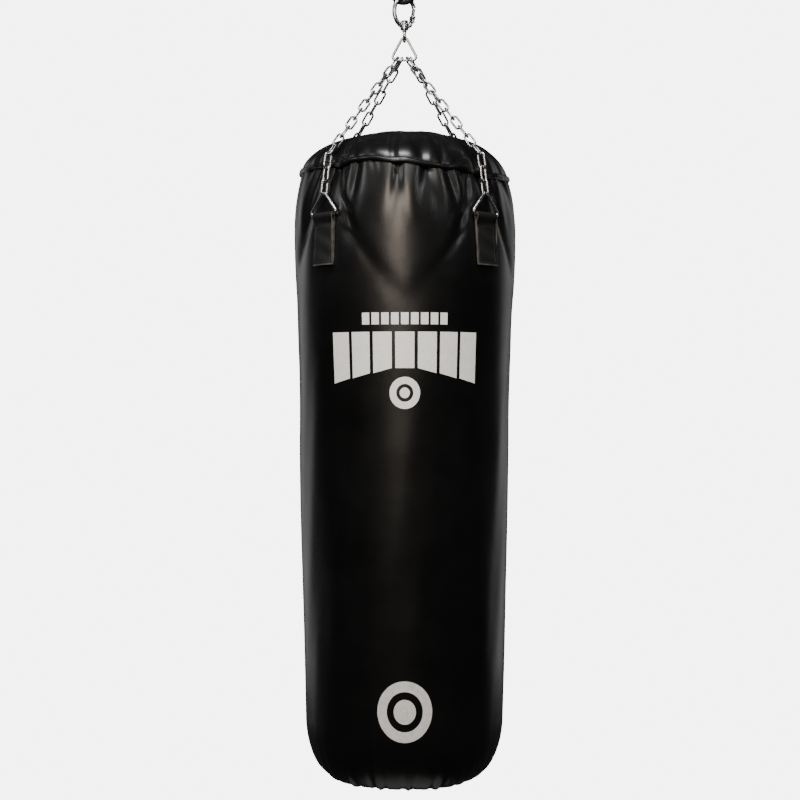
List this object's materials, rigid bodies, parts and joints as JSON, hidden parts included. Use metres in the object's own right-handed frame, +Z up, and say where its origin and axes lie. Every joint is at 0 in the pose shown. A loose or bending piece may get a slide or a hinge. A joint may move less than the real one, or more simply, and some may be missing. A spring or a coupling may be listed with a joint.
{
  "type": "heavy punching bag",
  "caption": "Filled leather-look heavy bag hung by chains and strap rings from a swivel snap hook on a ceiling eye.",
  "frame": {"origin": "centre of the ceiling plate's top face", "axes": "+Z up, out of the ceiling plate's top face and along the bag's length; -Y towards the side with the prints"},
  "size_m": [0.398, 0.398, 1.4586],
  "materials": {
    "black_paint": "satin",
    "bright_zinc": "bright zinc plate",
    "coated_fabric": "gloss",
    "foam": "matt",
    "fill": "matt"
  },
  "bodies": {
    "hanger": {"ceiling_plate": "black_paint", "hanger_eye": "black_paint"},
    "hook": {"snap_hook_body": "bright_zinc", "gate_pin": "bright_zinc", "gate_spring": "bright_zinc"},
    "gate": {"snap_gate": "bright_zinc"},
    "swivel": {"swivel_eye": "bright_zinc", "swivel_washer": "bright_zinc"},
    "bag": {"gather_link": "bright_zinc", "chain_front_left": "bright_zinc", "chain_front_right": "bright_zinc", "chain_rear_left": "bright_zinc", "chain_rear_right": "bright_zinc", "strap_ring_front_left": "bright_zinc", "strap_ring_front_right": "bright_zinc", "strap_ring_rear_left": "bright_zinc", "strap_ring_rear_right": "bright_zinc", "strap_front_left": "coated_fabric", "strap_front_right": "coated_fabric", "strap_rear_left": "coated_fabric", "strap_rear_right": "coated_fabric", "shell_side": "coated_fabric", "top_cover": "coated_fabric", "base_panel": "coated_fabric", "top_piping": "coated_fabric", "foam_liner": "foam", "textile_fill": "fill"}
  },
  "joints": [
    {"name": "swing_fore_aft", "type": "hinge", "parent": "hanger", "child": "hook", "pos_m": [0, 0, -0.0683], "axis": [0.9135, -0.4067, 0], "range_deg": [-20, 20]},
    {"name": "gate_open", "type": "hinge", "parent": "hook", "child": "gate", "pos_m": [0.01324, 0.00704, -0.1022], "axis": [0.4695, -0.8829, 0], "range_deg": [0, 25], "stiffness_Nm_per_rad": 0.05, "springref_deg": -22.92},
    {"name": "swivel_spin", "type": "hinge", "parent": "hook", "child": "swivel", "pos_m": [0, 0, -0.13], "axis": [0, 0, 1], "continuous": true},
    {"name": "swing_sideways", "type": "hinge", "parent": "swivel", "child": "bag", "pos_m": [0, 0, -0.1385], "axis": [0, 1, 0], "range_deg": [-20, 20]}
  ]
}
